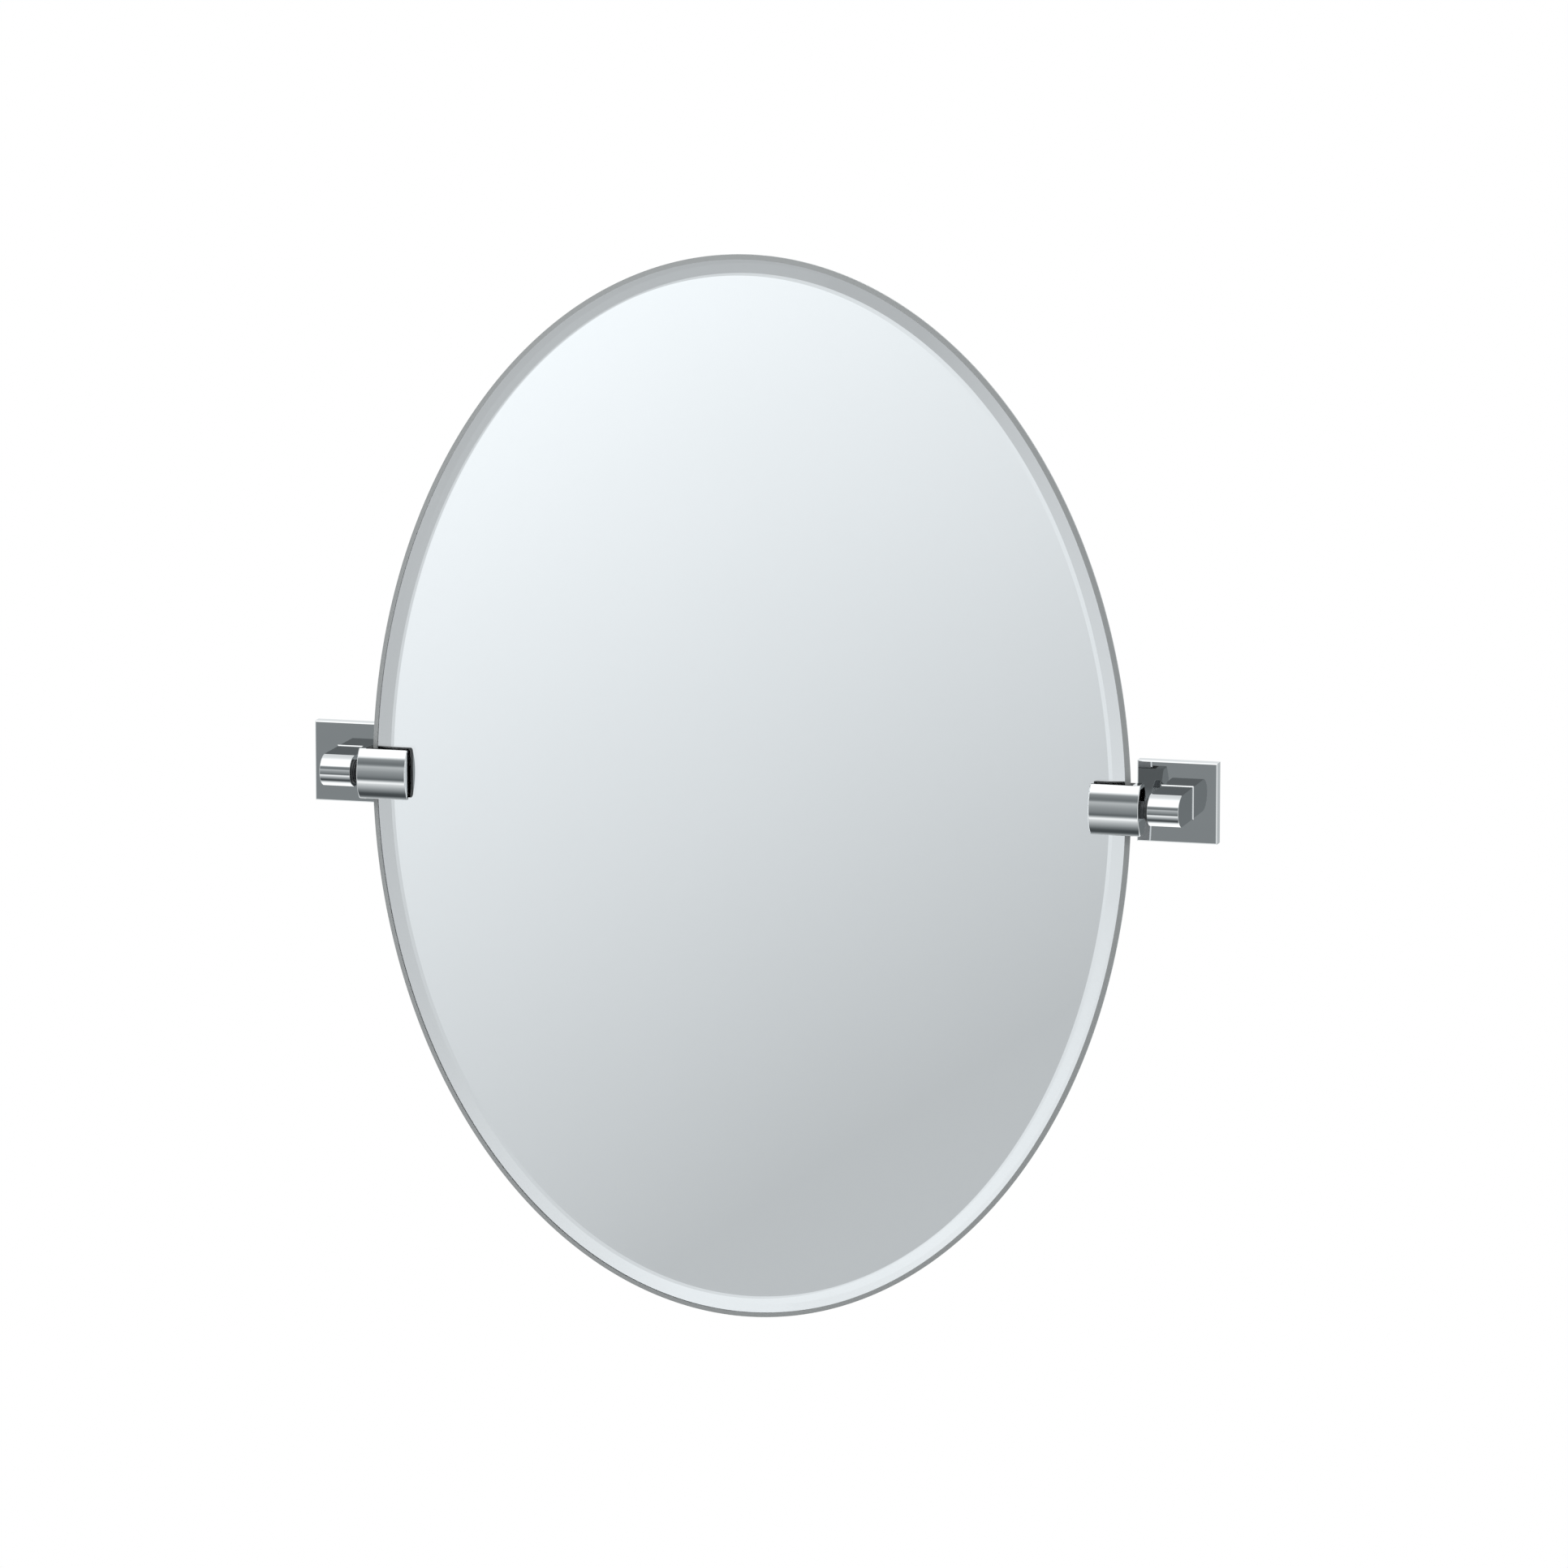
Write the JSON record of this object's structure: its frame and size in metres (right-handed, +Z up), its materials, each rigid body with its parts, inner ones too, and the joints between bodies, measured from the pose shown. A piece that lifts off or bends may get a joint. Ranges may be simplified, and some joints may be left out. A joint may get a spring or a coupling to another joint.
{
  "type": "pivot wall mirror",
  "caption": "Oval bevelled wall mirror held at its sides by chrome clamps that tilt on posts fixed to square base plates.",
  "frame": {"origin": "on the wall plane, midway between the two wall brackets, at the height of the pivot axis", "axes": "+Z up, -Y out of the wall towards the viewer, +X to the viewer's right along the pivot axis"},
  "size_m": [0.5856, 0.05, 0.6729],
  "materials": {
    "silvered_glass": "polished, ground bevel and edge",
    "backing_paint": "matt grey paint over silver and copper",
    "chrome": "polished chrome plate",
    "black_rubber": "matt",
    "plated_steel": "bright zinc plate",
    "nylon": "matt moulded nylon"
  },
  "bodies": {
    "wall_side": {"left_wall_bracket": "plated_steel", "left_base_plate": "chrome", "left_lock_screw": "plated_steel", "left_post": "chrome", "left_post_screw": "plated_steel", "left_post_washer": "plated_steel", "left_pivot_bush": "nylon", "right_wall_bracket": "plated_steel", "right_base_plate": "chrome", "right_lock_screw": "plated_steel", "right_post": "chrome", "right_post_screw": "plated_steel", "right_post_washer": "plated_steel", "right_pivot_bush": "nylon"},
    "mirror": {"mirror_glass": "silvered_glass", "mirror_backing": "backing_paint", "left_clamp": "chrome", "left_clamp_gasket": "black_rubber", "left_pressure_plate": "plated_steel", "left_clamp_screws": "plated_steel", "left_pivot_pin": "plated_steel", "left_spring_washer": "plated_steel", "right_clamp": "chrome", "right_clamp_gasket": "black_rubber", "right_pressure_plate": "plated_steel", "right_clamp_screws": "plated_steel", "right_pivot_pin": "plated_steel", "right_spring_washer": "plated_steel"}
  },
  "joints": [
    {"name": "tilt", "type": "hinge", "parent": "wall_side", "child": "mirror", "pos_m": [0, -0.039, 0], "axis": [1, 0, 0], "range_deg": [-6, 6]}
  ]
}
